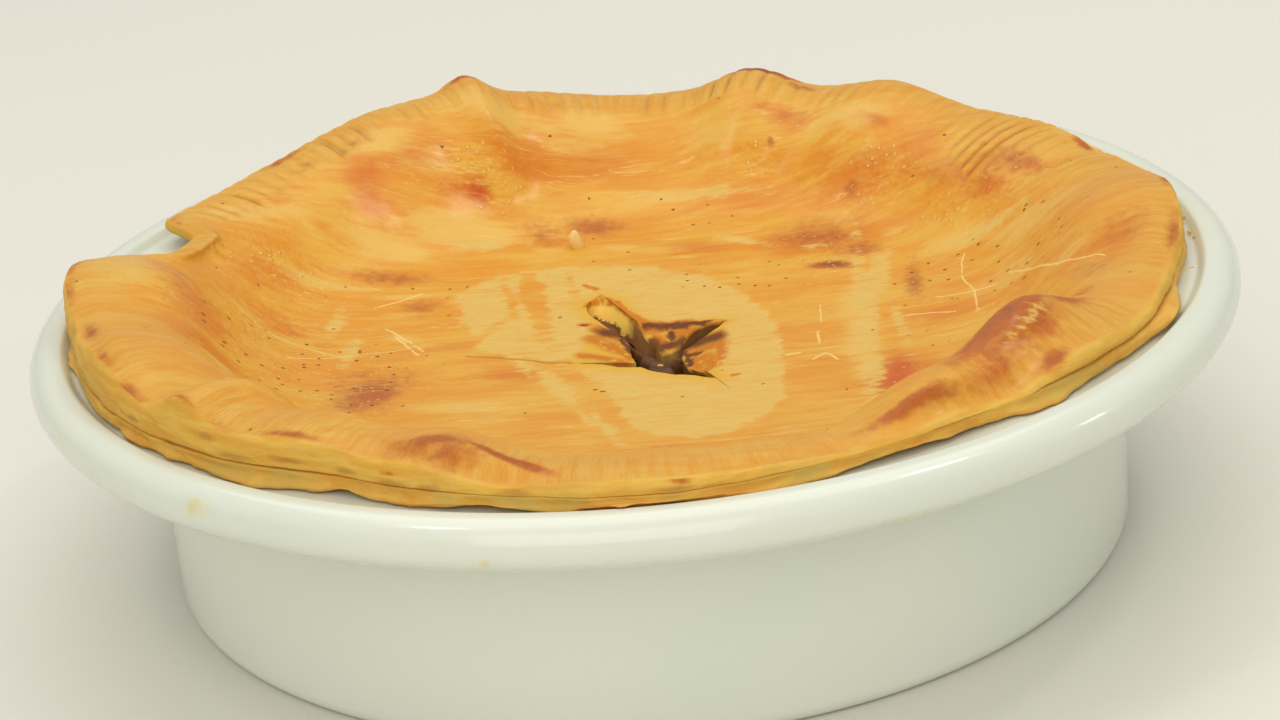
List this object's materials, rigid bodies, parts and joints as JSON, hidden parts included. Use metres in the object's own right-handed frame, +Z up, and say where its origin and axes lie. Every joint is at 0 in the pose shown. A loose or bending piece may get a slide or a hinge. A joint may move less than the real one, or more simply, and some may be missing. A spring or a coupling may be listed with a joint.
{
  "type": "kidney pie",
  "caption": "Deep round meat pie in its own white glazed dish: glazed pastry lid with an uneven crimped rim, hollow top and a star-shaped knife vent.",
  "frame": {"origin": "centre of the dish's base, on the surface that it stands on", "axes": "+Z up; -Y is the front, as the pie is seen in the picture; +X to the right"},
  "size_m": [0.28, 0.28, 0.08],
  "materials": {
    "dish_glaze": "gloss white glaze, faintly warm, with a few thin yellow egg-wash stains",
    "crust": "satin baked pastry, golden orange egg glaze with pale unglazed patches and browned spots",
    "crust_edge": "matte baked pastry, plain tan yellow side with thin layers",
    "filling": "satin dark brown meat in a wet gravy"
  },
  "bodies": {
    "root": {"dish": "dish_glaze", "pastry_lid": "crust", "pastry_collar": "crust_edge", "filling": "filling"}
  },
  "joints": []
}
